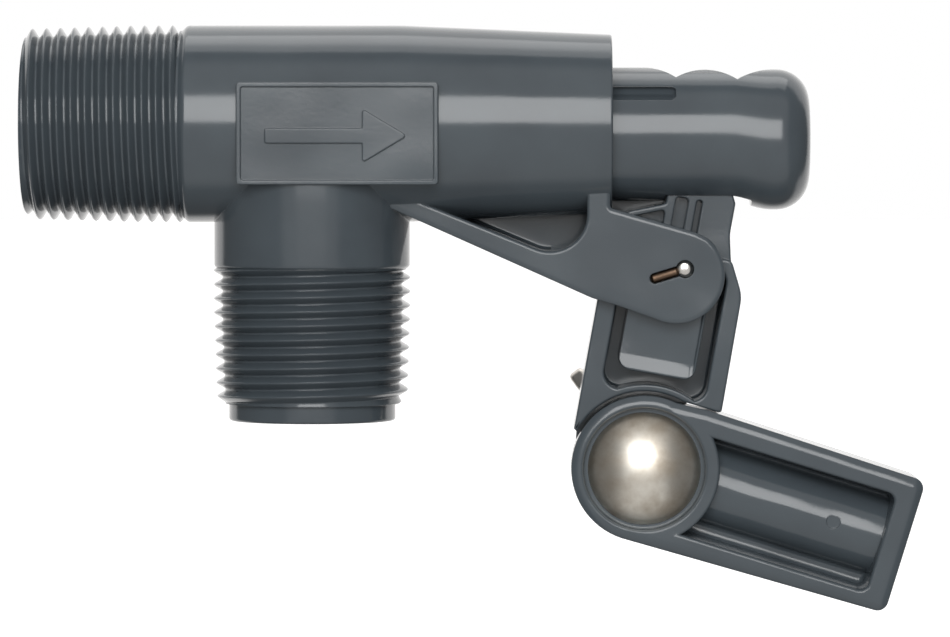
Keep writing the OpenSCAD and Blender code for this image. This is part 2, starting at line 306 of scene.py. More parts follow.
def rod(start: float, stop: float, radius: float, axis: Axis = Axis.X, place: Vector | None = None,
        chamfer: float = 0.0, steps: int = 96) -> Mesh:
    """A straight cylinder, as a lathe shape.

    Args:
        start: Distance of its first end along the axis.
        stop: Distance of its second end.
        radius: Radius.
        axis: Direction of the axis.
        place: Where the axis's zero lies.
        chamfer: Rounding of both ends, negative for a flare.
        steps: Number of facets around.

    Returns:
        The cylinder.
    """
    size = abs(chamfer)
    profile = [(start, 0.0), (start, radius - chamfer), (start + size, radius),
               (stop - size, radius), (stop, radius - chamfer), (stop, 0.0)]
    if not chamfer:
        profile = [(start, 0.0), (start, radius), (stop, radius), (stop, 0.0)]
    return lathe(profile, axis, place, steps)


def placed(mesh: Mesh, matrix: Matrix) -> Mesh:
    """The same mesh, transformed, with its faces pointing outwards."""
    bmesh.ops.transform(mesh, matrix=matrix, verts=mesh.verts)
    bmesh.ops.recalc_face_normals(mesh, faces=mesh.faces)
    return mesh


def combine(base: Mesh, join: Join, *tools: Mesh) -> Mesh:
    """Joins closed meshes, or cuts one with others.

    Args:
        base: The mesh to work on. It is used up.
        join: What each tool does to it.
        tools: The other meshes. They are used up.

    Returns:
        The result.
    """
    objects = []
    for mesh in (base, *tools):
        data = bpy.data.meshes.new("work")
        mesh.to_mesh(data)
        mesh.free()
        objects.append(bpy.data.objects.new("work", data))
        bpy.context.scene.collection.objects.link(objects[-1])
    for tool in objects[1:]:
        modifier = objects[0].modifiers.new("join", "BOOLEAN")
        modifier.operation = join.value
        modifier.solver = "MANIFOLD"
        modifier.object = tool
    evaluated = objects[0].evaluated_get(bpy.context.evaluated_depsgraph_get())
    result = bmesh.new()
    result.from_mesh(evaluated.to_mesh())
    evaluated.to_mesh_clear()
    for item in objects:
        data = item.data
        bpy.data.objects.remove(item)
        bpy.data.meshes.remove(data)
    if not result.faces:
        raise ValueError(f"{join.name} left nothing")
    return result


@dataclass(frozen=True)
class Thread:
    """A right-hand helical thread around X, as a solid rod."""

    pitch: float
    crest_r: float
    depth: float
    start: float
    end: float
    flat: float = 0.12
    steps: int = 96

    def ridge(self) -> Outline:
        """One pitch of the profile, from root to root, with a softened crest."""
        half, flat = self.pitch / 2, self.flat
        root, crest = self.crest_r - self.depth, self.crest_r
        rise = [(-half, root), (-half + flat, root), (-2 * flat, crest - 1.4 * flat), (-0.5 * flat, crest)]
        return rise + [(-along, radius) for along, radius in reversed(rise)]

    def solid(self, taper: float = 0.0, full_at: float = 0.0, chamfer_r: float = 0.0) -> Mesh:
        """The threaded rod.

        Args:
            taper: Growth of the radius for each millimetre along the rod.
            full_at: Distance at which the crest has its full radius.
            chamfer_r: Radius at the start, from which the end's chamfer opens at 45 degrees.

        Returns:
            A closed solid from the thread's start to its end.
        """
        mesh = bmesh.new()
        first = self.start - 1.5 * self.pitch
        turns = math.ceil((self.end - first) / self.pitch) + 2
        ring = [mesh.verts.new((first + along, 0.0, radius)) for along, radius in self.ridge()]
        edges = [mesh.edges.new(pair) for pair in zip(ring, ring[1:])]
        bmesh.ops.spin(mesh, geom=ring + edges, cent=(0, 0, 0), axis=(1, 0, 0), angle=math.tau,
                       dvec=(self.pitch / self.steps, 0, 0), steps=self.steps)
        one_turn = [*mesh.verts, *mesh.edges, *mesh.faces]
        for k in range(1, turns):
            made = bmesh.ops.duplicate(mesh, geom=one_turn)["geom"]
            fresh = [item for item in made if isinstance(item, bmesh.types.BMVert)]
            bmesh.ops.translate(mesh, vec=(k * self.pitch, 0, 0), verts=fresh)
        bmesh.ops.remove_doubles(mesh, verts=mesh.verts, dist=1e-3)
        for at, keep in ((self.start, 1), (self.end, -1)):
            bmesh.ops.bisect_plane(mesh, geom=[*mesh.verts, *mesh.edges, *mesh.faces], dist=1e-5,
                                   plane_co=(at, 0, 0), plane_no=(-keep, 0, 0), clear_outer=True)
        for vert in mesh.verts:
            radius = math.hypot(vert.co.y, vert.co.z)
            wanted = radius - taper * max(0.0, full_at - vert.co.x)
            if chamfer_r:
                wanted = min(wanted, chamfer_r + vert.co.x - self.start)
            vert.co.y *= wanted / radius
            vert.co.z *= wanted / radius
        bmesh.ops.holes_fill(mesh, edges=[e for e in mesh.edges if e.is_boundary], sides=0)
        bmesh.ops.recalc_face_normals(mesh, faces=mesh.faces)
        return mesh


# ---- Finishes -----------------------------------------------------------------------------------


class Graph:
    """A material's node tree, with short ways to add nodes to it."""

    def __init__(self, name: str) -> None:
        """Starts a material with a principled shader."""
        self.material = bpy.data.materials.new(name)
        self.material.use_nodes = True
        self.tree = self.material.node_tree
        self.shader = self.tree.nodes["Principled BSDF"]

    def add(self, kind: str, **values: object) -> bpy.types.Node:
        """Adds a node.

        Args:
            kind: The node's type, without its ShaderNode prefix.
            values: Settings of the node, or values and links of its inputs.

        Returns:
            The node.
        """
        node = self.tree.nodes.new("ShaderNode" + kind)
        for key, value in values.items():
            socket = key.replace("_", " ").title()
            if socket in node.inputs:
                self.feed(node, socket, value)
            else:
                setattr(node, key, value)
        return node

    def feed(self, node: bpy.types.Node, name: str | int, value: object) -> None:
        """Sets an input of a node, or links it where the value is a socket."""
        if isinstance(value, Socket):
            self.tree.links.new(value, node.inputs[name])
        else:
            node.inputs[name].default_value = value

    def spots(self, scale: float, detail: float = 3.0, stretch: Triple = (1, 1, 1)) -> Socket:
        """Noise on the object's own coordinates.

        Args:
            scale: Noise cells in each metre.
            detail: Number of finer layers.
            stretch: Scale along each axis.

        Returns:
            The noise's value.
        """
        place = self.add("TexCoord").outputs["Object"]
        mapped = self.add("Mapping", vector=place, scale=stretch).outputs["Vector"]
        return self.add("TexNoise", vector=mapped, scale=scale, detail=detail).outputs["Fac"]

    def ranged(self, value: Socket, low: float, high: float, start: float = 0.35,
               stop: float = 0.65) -> Socket:
        """A value spread from its own start and stop to low and high."""
        node = self.add("MapRange")
        for index, number in enumerate((start, stop, low, high), start=1):
            node.inputs[index].default_value = number
        self.feed(node, 0, value)
        return node.outputs["Result"]

    def blended(self, share: Socket, one: Colour, two: Colour) -> Socket:
        """A colour between two, by a share."""
        node = self.add("Mix", data_type="RGBA")
        self.feed(node, 0, share)
        self.feed(node, 6, (*one, 1.0))
        self.feed(node, 7, (*two, 1.0))
        return node.outputs[2]

    def bumped(self, height: Socket, depth: float, strength: float | Socket,
               normal: Socket | None = None) -> Socket:
        """A bumped normal; depth is the height's full range in metres."""
        node = self.add("Bump", strength=strength, distance=depth, height=height)
        if normal:
            self.feed(node, "Normal", normal)
        return node.outputs["Normal"]


@dataclass(frozen=True)
class MouldedPlastic:
    """Semi-gloss moulded plastic: mottled colour, soft waves from the mould and a fine grain.

    The waves grow to full strength over the uneven stretch, measured along uneven_along in metres.
    """

    base: Colour = (0.074, 0.091, 0.104)
    shade: Colour = (0.064, 0.078, 0.090)
    gloss: Point = (0.10, 0.18)
    edge: float = 0.00022
    uneven_along: Triple = (1.0, 0.0, -2.0)
    uneven: Point = (0.108, 0.125)

    def material(self, name: str) -> Material:
        """Builds the finish.

        Args:
            name: The material's name.

        Returns:
            The material.
        """
        graph = Graph(name)
        cloud = graph.spots(90.0, 4.0)
        speck = graph.spots(1800.0, 2.0)
        colour = graph.blended(graph.ranged(cloud, 0.0, 1.0), self.shade, self.base)
        graph.feed(graph.shader, "Base Color", colour)
        smear = graph.spots(55.0, 5.0, (1.0, 1.0, 1.8))
        graph.feed(graph.shader, "Roughness", graph.ranged(smear, *self.gloss, 0.2, 0.8))
        corner = graph.add("Bevel", samples=4, radius=self.edge).outputs["Normal"]
        place = graph.add("TexCoord").outputs["Object"]
        lean = graph.add("VectorMath", operation="DOT_PRODUCT")
        graph.feed(lean, 0, place)
        graph.feed(lean, 1, self.uneven_along)
        strength = graph.ranged(lean.outputs["Value"], 0.35, 1.0, *self.uneven)
        waves = graph.bumped(graph.spots(75.0, 1.0), 0.0005, strength, corner)
        grain = graph.bumped(speck, 0.00003, 0.16, waves)
        graph.feed(graph.shader, "Normal", grain)
        graph.shader.inputs["IOR"].default_value = 1.54
        return graph.material


@dataclass(frozen=True)
class Stainless:
    """Polished stainless steel with smudges and fine marks."""

    light: Colour = (0.74, 0.72, 0.69)
    dull: Colour = (0.56, 0.53, 0.49)
    gloss: Point = (0.16, 0.34)
    marks: Triple = (1.0, 1.0, 6.0)

    def material(self, name: str) -> Material:
        """Builds the finish.

        Args:
            name: The material's name.

        Returns:
            The material.
        """
        graph = Graph(name)
        graph.shader.inputs["Metallic"].default_value = 1.0
        smudge = graph.spots(260.0, 5.0)
        colour = graph.blended(graph.ranged(smudge, 0, 1), self.dull, self.light)
        graph.feed(graph.shader, "Base Color", colour)
        graph.feed(graph.shader, "Roughness", graph.ranged(smudge, self.gloss[1], self.gloss[0]))
        corner = graph.add("Bevel", samples=4, radius=0.00012).outputs["Normal"]
        scratch = graph.bumped(graph.spots(900.0, 3.0, self.marks), 0.00002, 0.18, corner)
        graph.feed(graph.shader, "Normal", scratch)
        return graph.material


@dataclass(frozen=True)
class Rubber:
    """Matt black rubber with a faint bloom."""

    deep: Colour = (0.012, 0.012, 0.014)
    bloom: Colour = (0.034, 0.034, 0.038)

    def material(self, name: str) -> Material:
        """Builds the finish.

        Args:
            name: The material's name.

        Returns:
            The material.
        """
        graph = Graph(name)
        cloud = graph.spots(400.0, 5.0)
        colour = graph.blended(graph.ranged(cloud, 0, 1), self.deep, self.bloom)
        graph.feed(graph.shader, "Base Color", colour)
        graph.feed(graph.shader, "Roughness", graph.ranged(cloud, 0.5, 0.72))
        graph.feed(graph.shader, "Normal", graph.bumped(graph.spots(3000.0, 3.0), 0.00003, 0.3))
        return graph.material


class Slot(Enum):
    """Material slots of the record."""

    PLASTIC = "moulded_plastic"
    STEEL = "stainless"
    RUBBER = "rubber"


def finished(mesh: Mesh, name: str, body: str, slot: Slot, material: Material, *nodes: str,
             crease: float = 32.0) -> None:
    """Turns a mesh in millimetres into a finished piece.

    Args:
        mesh: The piece's mesh. It is used up.
        name: The piece's name.
        body: The body that it rides on.
        slot: The record's material slot. Not used.
        material: The finish.
        nodes: The frame's nodes that it stands for.
        crease: Angle in degrees above which an edge stays sharp.
    """
    bmesh.ops.scale(mesh, vec=(MM, MM, MM), verts=mesh.verts)
    bmesh.ops.remove_doubles(mesh, verts=mesh.verts, dist=2e-7)
    bmesh.ops.dissolve_degenerate(mesh, edges=mesh.edges, dist=1e-8)
    data = bpy.data.meshes.new(name)
    mesh.to_mesh(data)
    mesh.free()
    data.polygons.foreach_set("use_smooth", [True] * len(data.polygons))
    data.set_sharp_from_angle(angle=math.radians(crease))
    data.materials.append(material)
    piece = bpy.data.objects.new(name, data)
    bpy.context.scene.collection.objects.link(piece)
    shading = piece.modifiers.new("flat_faces", "WEIGHTED_NORMAL")
    shading.keep_sharp = True
    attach(piece, body)
    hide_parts(*nodes)
    LOG.info("%s rides on %s: %d faces", name, body, len(data.polygons))


def joint_place(name: str) -> Vector:
    """Place of one of the frame's joints, in millimetres."""
    joint = next(item for item in frame["joints"] if item["name"] == name)
    return Vector(joint["pos_m"]) / MM


PIVOT = joint_place("lever_swing")
CLAMP = joint_place("arm_adjust")
PIPE_PITCH = 1.9
PIPE_DEPTH = 1.15
PIPE_TAPER = 1 / 32
PIPE_FULL_AT = 15.0
BOLT_PITCH = 1.27
PARTITION_X = 29.5
SEAT_R = 6.2
SEAT_LIP_X = 31.5
TIP_R = 4.5
PIN_R = 1.19
LEG_TURN = Matrix.Rotation(math.radians(-17), 4, "Y")
# Sends a shape that lies across Y to one that runs along X.
ALONG_X = Matrix(((0, 1, 0, 0), (0, 0, 1, 0), (1, 0, 0, 0), (0, 0, 0, 1)))


# ---- Sub-assemblies -----------------------------------------------------------------------------


@dataclass
class ValveBody:
    """The moulded body: threaded inlet, tube, threaded outlet, panel, rib, web and ears."""

    tube_r: float = 13.335
    tube_l: float = 79.4
    tube_end_r: float = 12.1
    taper_x: float = 50.8
    inlet_l: float = 21.3
    inlet_lead_r: float = 12.0
    outlet_lead_r: float = 11.9
    outlet_x: float = 38.8
    outlet_end: float = -40.2
    outlet_top: float = -19.8
    neck_r: float = 13.28
    pilot: Point = (11.3, 2.3)
    panel: tuple[float, float, float, float] = (29.2, -8.1, 56.1, 5.5)
    panel_y: float = -13.55
    ear_y: float = 7.8
    ear_gap: float = 5.3
    ear_end: Point = (88.0, -20.3)
    ear_r: float = 6.5
    bore_r: float = 10.7
    inlet_way: Point = (9.2, 25.5)
    outlet_way: Point = (8.6, 35.0)

    def tube(self) -> Mesh:
        """The plain tube behind the inlet thread, tapered to its open end."""
        start = self.inlet_l - 0.3
        low = self.tube_r - 0.7
        return lathe(rounded([
            (start, 0), (start, low), (self.inlet_l, low), (self.inlet_l + 0.7, self.tube_r, 0.8),
            (self.taper_x, self.tube_r, 40.0), (self.tube_l, self.tube_end_r, 0.3), (self.tube_l, 0),
        ], closed=False), steps=192)

    def inlet(self) -> Mesh:
        """The inlet's pipe thread."""
        thread = Thread(PIPE_PITCH, self.tube_r, PIPE_DEPTH, 0.0, self.inlet_l)
        return thread.solid(PIPE_TAPER, PIPE_FULL_AT, self.inlet_lead_r)

    def outlet(self) -> Mesh:
        """The neck, the outlet's pipe thread and the plain ring below it."""
        place = Vector((self.outlet_x, 0, self.outlet_end))
        pilot_r, pilot_l = self.pilot
        top = self.outlet_top - self.outlet_end
        thread = Thread(PIPE_PITCH, self.tube_r, PIPE_DEPTH, pilot_l, top + 0.3)
        ridge = placed(thread.solid(PIPE_TAPER, PIPE_FULL_AT, self.outlet_lead_r),
                       Matrix.Translation(place) @ Axis.Z.value)
        ring = lathe(rounded([(0, 0), (0, pilot_r, 0.4), (pilot_l + 1, pilot_r), (pilot_l + 1, 0)], False),
                     Axis.Z, place)
        neck = lathe(rounded([(top, 0), (top, self.neck_r - 0.6), (top + 0.6, self.neck_r, 0.5),
                              (-self.outlet_end - 8, self.neck_r), (-self.outlet_end - 8, 0)], False),
                     Axis.Z, place, steps=192)
        return combine(ridge, Join.UNION, ring, neck)

    def label(self) -> Mesh:
        """The panel with its raised border and a flow arrow."""
        x0, z0, x1, z1 = self.panel
        top, rise, border = self.panel_y - 0.35, 0.12, 0.6
        slab = plate(box_outline(x0, z0, x1, z1, 0.5), top, -5.0, rise, 0)
        field = well(box_outline(x0 + border, z0 + border, x1 - border, z1 - border, 0.3),
                     self.panel_y, top, rise)
        slab = combine(slab, Join.CUT, field)
        arrow = rounded([(33, -2.6, 0.3), (46, -2.6, 0.15), (46, -5.2, 0.3), (52, -1.6, 0.4),
                         (46, 2, 0.3), (46, -0.6, 0.15), (33, -0.6, 0.3)])
        return combine(slab, Join.UNION, plate(arrow, top, self.panel_y + 0.4, rise, 0))

    def bracket(self) -> Mesh:
        """The rib and the two ears, as one plate with a slot between the ears and hollow sides."""
        outline = rounded([(46, -8), (46, -9.7), (76.7, -23.4, 2.5), (79.9, -24.3, 4.0),
                           (86.2, -26.55)], False)
        outline += arc(self.ear_end, self.ear_r, -104, 50)
        outline += rounded([(92.1, -15.2), (90.6, -14.6, 1.4), (79.1, -11.3, 0.6), (79.1, -8)], False)[1:]
        solid = plate(outline, -self.ear_y, self.ear_y, 0.9, sweep=45)
        guard = plate([(78.6, -16), (90, -16), (90, -13.6), (88, -9.6), (78.6, -9.6)],
                      self.ear_gap, self.ear_y, 0, 0.3)
        solid = combine(solid, Join.UNION, guard)
        hollow = [(48.0, -8.0), (50.6, -9.2)] + arc((71.0, -12.1), 5.0, -109.7, 0) + [(76, -8)]
        between = box_outline(76.9, -40, 110, 0)
        behind = box_outline(71.2, -17.5, 78, -7)
        return combine(
            solid, Join.CUT, well(hollow, self.ear_gap, -self.ear_y, 0.45, 0.5),
            plate(between, -self.ear_gap, self.ear_gap), plate(behind, -self.ear_gap, self.ear_gap),
        )

    def pin_groove(self) -> Mesh:
        """The groove in the front ear in which the pin's bent leg lies."""
        return placed(plate(box_outline(-4.95, -0.72, -0.4, 0.72, 0.7), -0.9, 1.6),
                      Matrix.Translation((PIVOT.x, -self.ear_y, PIVOT.z)) @ LEG_TURN)

    def way(self, size: Point, axis: Axis = Axis.X, place: Vector | None = None) -> Mesh:
        """Cutter for a water way of a given radius and length, with a chamfered mouth."""
        radius, length = size
        return lathe([(-1, 0), (-1, radius + 1.2), (0.4, radius), (length, radius), (length, 0)], axis, place)

    def build(self, plastic: Material) -> None:
        """Joins the body's parts, cuts its water ways and dresses it.

        Args:
            plastic: The finish.
        """
        solid = combine(self.tube(), Join.UNION, self.inlet(), self.outlet(), self.label(), self.bracket())
        past = self.tube_l + 1
        bore = lathe(rounded([
            (PARTITION_X, 0), (PARTITION_X, self.bore_r), (self.tube_l - 0.3, self.bore_r, 0.3),
            (past, self.bore_r + 0.9), (past, 0),
        ], False), steps=160)
        solid = combine(
            solid, Join.CUT, bore, self.way(self.inlet_way), rod(24, 31, SEAT_R),
            self.way(self.outlet_way, Axis.Z, Vector((self.outlet_x, 0, self.outlet_end))),
            rod(-9, 9, PIN_R + 0.02, Axis.Y, Vector((PIVOT.x, 0, PIVOT.z)), steps=48),
            self.pin_groove(),
        )
        finished(solid, "body_moulding", "valve", Slot.PLASTIC, plastic, "valve_body")


@dataclass
class SeatSet:
    """The orifice seat that is pressed into the body's partition."""

    hole_r: float = 4.2
    x0: float = 24.7
    flange_t: float = 0.8

    def build(self, plastic: Material) -> None:
        """Turns the seat as one ring.

        Args:
            plastic: The finish.
        """
        flange_r, flange_x = SEAT_R + 1.2, self.x0 + self.flange_t
        section = rounded([
            (self.x0, self.hole_r, 0.3), (self.x0, flange_r, 0.2), (flange_x, flange_r, 0.2),
            (flange_x, SEAT_R), (PARTITION_X, SEAT_R), (PARTITION_X + 0.6, 5.5, 0.4), (SEAT_LIP_X, 5.1, 0.25),
            (SEAT_LIP_X, self.hole_r + 0.3, 0.25), (SEAT_LIP_X - 0.4, self.hole_r, 0.3),
        ])
        finished(lathe(section, closed=True), "seat_nozzle", "valve", Slot.PLASTIC, plastic, "orifice_seat")


@dataclass
class PivotPin:
    """The stainless pivot pin, with a thin leg bent into the front ear's groove."""

    half_l: float = 7.35
    dome: float = 0.5
    leg: Point = (-4.75, -0.9)
    leg_r: float = 0.66
    leg_y: float = -6.95

    def build(self, steel: Material, painted_shade_steel: Material) -> None:
        """Turns the pin and its leg.

        Args:
            steel: Finish of the pin.
            painted_shade_steel: Finish of the leg, dark brown steel whose colour is painted shade from its
                groove and a painted reflection of brown surroundings.
        """
        place = Vector((PIVOT.x, 0, PIVOT.z))
        end = [(self.half_l - self.dome + self.dome * math.sin(a), PIN_R * math.cos(a))
               for a in (math.radians(15 * i) for i in range(7))]
        profile = [(-along, radius) for along, radius in reversed(end)] + end
        pin = lathe(profile, Axis.Y, place, 64)
        finished(pin, "hinge_pin", "valve", Slot.STEEL, steel, "pivot_pin", crease=40)
        leg = placed(rod(*self.leg, self.leg_r, chamfer=0.3, steps=32),
                     Matrix.Translation((PIVOT.x, self.leg_y, PIVOT.z)) @ LEG_TURN)
        finished(leg, "hinge_pin_leg", "valve", Slot.STEEL, painted_shade_steel)


@dataclass
class PlungerSet:
    """The plunger, its seal, the seal's washer and screw, and its O-ring."""

    stroke: float = 4.427
    land_r: float = 10.62
    tail_z: float = -1.35
    tail_r: float = 9.1
    tail_end: float = 106.1
    lobe_z: float = -2.1
    lobe_r: float = 9.5
    end_r: float = 4.4
    ring_x: float = 56.5
    slot_x: float = 91.364

    @property
    def seal_x(self) -> float:
        """Front face of the seal with the valve open."""
        return SEAT_LIP_X + self.stroke + 0.05

    def tail(self) -> Mesh:
        """The lobed tail that sticks out of the tube."""
        sections = [(62.0, self.tail_z, self.tail_r)]
        for share in (0.0, 0.15, 0.3, 0.5, 0.7, 0.85, 1.0):
            ease = share * share * (3 - 2 * share)
            sections.append((95.0 + 6.0 * share, self.tail_z + (self.lobe_z - self.tail_z) * ease,
                             self.tail_r + (self.lobe_r - self.tail_r) * ease))
        for inset, drop in rounding(self.end_r, steps=10):
            sections.append((self.tail_end - drop, self.lobe_z, self.lobe_r - inset))
        barrel = placed(stack([(x, circle((z, 0), r, 2.25)) for x, z, r in sections]), ALONG_X)
        top = [(60, 7.6), (83.6, 7.6)] + arc((83.6, -0.2), 7.8, 88, 58, 3)
        top += arc((91.9, -0.5), 7.8, 120, 56.3, 3) + arc((101.6, -3.6), 11.0, 117, 92, 4)
        top += [(101.4, 12), (108, 12)]
        side = plate([(60, -14), *top, (108, -14)], -13, 13)
        return combine(barrel, Join.COMMON, side)

    def core(self) -> Mesh:
        """The turned front of the plunger: seal cup, stem, guide lands and the O-ring's groove."""
        x, r, ring = self.seal_x, self.land_r, self.ring_x
        return lathe(rounded([
            (x + 3, 0), (x + 3, 7.05), (x + 0.9, 7.05, 0.15), (x + 0.9, 8.3, 0.3), (x + 5, 8.3, 0.5),
            (x + 7, 6, 1.0), (48, 6, 0.8), (50, 7), (50, r, 0.3), (ring - 1.6, r, 0.15),
            (ring - 1.6, 8.15, 0.3), (ring + 1.6, 8.15, 0.3), (ring + 1.6, r, 0.15), (62.5, r, 0.4),
            (62.5, 0),
        ], False))

    def build(self, plastic: Material, steel: Material, rubber: Material) -> None:
        """Builds the plunger and everything that slides with it.

        Args:
            plastic: Finish of the plunger.
            steel: Finish of the screw and washer.
            rubber: Finish of the seals.
        """
        land = rod(69, 77, self.land_r, chamfer=0.3, steps=160)
        solid = combine(self.tail(), Join.UNION, self.core(), land)
        section = [(3.1, -8.0), (3.25, -7.6), (3.85, -6.3), (4.1, -6.05), (4.95, -5.6), (5.0, -10),
                   (3.1, -10)]
        groove = placed(stack([(61, section), (87.4, section), (87.9, grown(section, -0.3))]), ALONG_X)
        half = TIP_R + 0.3
        left, right = self.slot_x - half, self.slot_x + half
        slot = plate(rounded([(left, -20), (right + 2.1, -20), (right + 2.1, -10.5), (right, -7, 2.0),
                              (right, -2, 1.2), (left, -2, 1.2)]), -3.7, 3.7)
        solid = combine(solid, Join.CUT, groove, slot, rod(self.seal_x, self.seal_x + 12, 1.5, steps=48))
        finished(solid, "plunger_moulding", "plunger_set", Slot.PLASTIC, plastic, "plunger")
        self.seals(rubber)
        self.screw(steel)

    def seals(self, rubber: Material) -> None:
        """The seal disc and the O-ring.

        Args:
            rubber: The finish.
        """
        x = self.seal_x
        disc = lathe(rounded([(x, 1.6), (x, 7, 0.45), (x + 3, 7, 0.1), (x + 3, 1.6)]), closed=True)
        finished(disc, "seal_pad", "plunger_set", Slot.RUBBER, rubber, "seal_disc")
        ring = lathe(circle((self.ring_x, 9.4), 1.25, 15), closed=True)
        finished(ring, "o_ring", "plunger_set", Slot.RUBBER, rubber, "plunger_o_ring", crease=60)

    def screw(self, steel: Material) -> None:
        """The seal's screw with its slot and thread, and its washer.

        Args:
            steel: The finish.
        """
        x = self.seal_x
        washer = lathe(rounded([(x - 0.8, 1.6), (x - 0.8, 3.3, 0.15), (x, 3.3, 0.1), (x, 1.6)]), closed=True)
        finished(washer, "seal_screw_washer", "plunger_set", Slot.STEEL, steel, "seal_washer")
        head = lathe(rounded([(x - 2.6, 0), (x - 2.6, 1.7, 0.8), (x - 1.7, 2.7, 0.5), (x - 0.8, 2.7, 0.1),
                              (x - 0.8, 0)], False), steps=64)
        shank = Thread(0.7, 1.5, 0.35, x - 1.0, x + 11.5, 0.06, 48).solid()
        screw = combine(head, Join.UNION, shank)
        screw = combine(screw, Join.CUT, plate(box_outline(x - 4, -4, x - 2, 4), -0.35, 0.35))
        finished(screw, "seal_retaining_screw", "plunger_set", Slot.STEEL, steel, "seal_screw")


@dataclass
class Lever:
    """The lever: arched foot, moat and dished pad in the front, and a ribbed upper arm with a round tip."""

    tilt: float = 10.2
    half: float = 5.0
    tip_half: float = 3.5
    tip_reach: float = 12.5
    bolt: Point = (-0.54, -27.45)
    arch_r: float = 10.4
    boss_r: float = 9.6
    lap: float = 0.05
    moat_depth: float = 8.5
    rim: float = 0.4
    sweep: float = 60.0

    def frame(self) -> Matrix:
        """Where the lever's upright frame lies in the valve's frame."""
        return Matrix.Translation((PIVOT.x, 0, PIVOT.z)) @ Matrix.Rotation(math.radians(self.tilt), 4, "Y")

    def foot(self) -> Outline:
        """The foot's arch over the arm's head, from left to right."""
        return arc(self.bolt, self.arch_r, 161.5, 70, 4)

    def outline(self) -> Outline:
        """The whole lever's outline, from its foot's left point counter-clockwise."""
        foot = self.foot()
        right = rounded([foot[-1], (8.4, -18.3, 0.4), (8.3, -2.2, 5.0), (6.1, 2, 4.0), (5.3, 5.6, 5.0),
                         (5.3, 9.8, 0.8), (4.4, 11.6)], False)[1:]
        tip = arc((0, self.tip_reach), TIP_R, -11, 205)
        left = rounded([(-4, 10.6), (-4, 8.2, 0.4), (-8.8, 6.3, 1.2), (-10.2, 4.5, 1.5), (-10.8, -2, 6.0),
                        (-10.8, -23.9)], False)
        return foot + right + tip + left[1:]

    def lower_outline(self) -> Outline:
        """The thick lower part's outline."""
        foot = self.foot()
        side = rounded([foot[-1], (8.4, -18.3, 0.4), (8.3, -2.2, 5.0), (6.1, 2.2, 1.0),
                        (-10.4, 2.2, 1.0), (-10.8, -2, 6.0), (-10.8, -23.9)], False)
        return foot + side[1:]

    def moat(self) -> Mesh:
        """Cutter for the deep moat round the pad in the front."""
        face, floor = -self.half, -self.half + self.moat_depth
        ditch = well(box_outline(-8.2, -17.5, 5.9, 1, 2.2), floor, face, 0.35, 0.35)
        pad = well(box_outline(-6.5, -14.75, 3.95, 4, 1.6), floor + 1, face, -0.25)
        guard = well(circle(self.bolt, self.arch_r + 0.9), floor + 1, face, -0.25)
        return combine(ditch, Join.CUT, pad, guard)

    def dish(self) -> Mesh:
        """Cutter for the shallow dish in the pad, with a long ramp at its lower end."""
        return stack([
            (-self.half + 0.4, box_outline(-7.5, -12.6, 3.5, 6, 0.5)),
            (-self.half, box_outline(-7.5, -14.4, 3.7, 6, 0.6)),
            (-self.half - 0.5, box_outline(-7.5, -14.5, 3.8, 6, 0.6)),
        ])

    def pockets(self) -> list[Mesh]:
        """Cutters for the pockets of the upper arm, between its ribs."""
        left = rounded([(-9.4, 0.5, 1.0), (-3.9, 0.5, 0.6), (-3.9, 7.4, 0.4), (-8.3, 5.6, 0.8),
                        (-9.3, 4.2, 0.8)])
        made = []
        for side in (-1, 1):
            face = side * self.tip_half
            made.append(well(left, side * 0.8, face, 0.2))
            made.append(well(box_outline(-2.75, 2.4, -1.0, 9.4, 0.5), side * 0.8, face, 0.2))
            made.append(well(box_outline(0.1, 2.4, 0.85, 9.4, 0.33), side * 0.8, face, 0.25))
        return made

    def build(self, plastic: Material) -> None:
        """Builds the lever and dresses it.

        Args:
            plastic: The finish.
        """
        solid = combine(
            plate(self.outline(), -self.tip_half, self.tip_half, 0.35), Join.UNION,
            plate(self.lower_outline(), -self.half, self.half, self.rim, sweep=self.sweep),
            plate(circle(self.bolt, self.boss_r), self.lap, self.half, 0.1, 0.3),
            plate([(-10.75, -20), (-10.1, -26.4), self.bolt, (5.46, -20.3), (1.5, -15)],
                  self.lap, self.half - 0.3),
        )
        cutters = [self.moat(), self.dish(), *self.pockets()]
        cutters.append(rod(-9, 9, 1.26, Axis.Y, steps=48))
        cutters.append(rod(-1, 9, 3.2, Axis.Y, Vector((self.bolt[0], 0, self.bolt[1])), steps=64))
        solid = combine(solid, Join.CUT, *cutters)
        finished(placed(solid, self.frame()), "lever_moulding", "lever_set", Slot.PLASTIC, plastic, "lever")


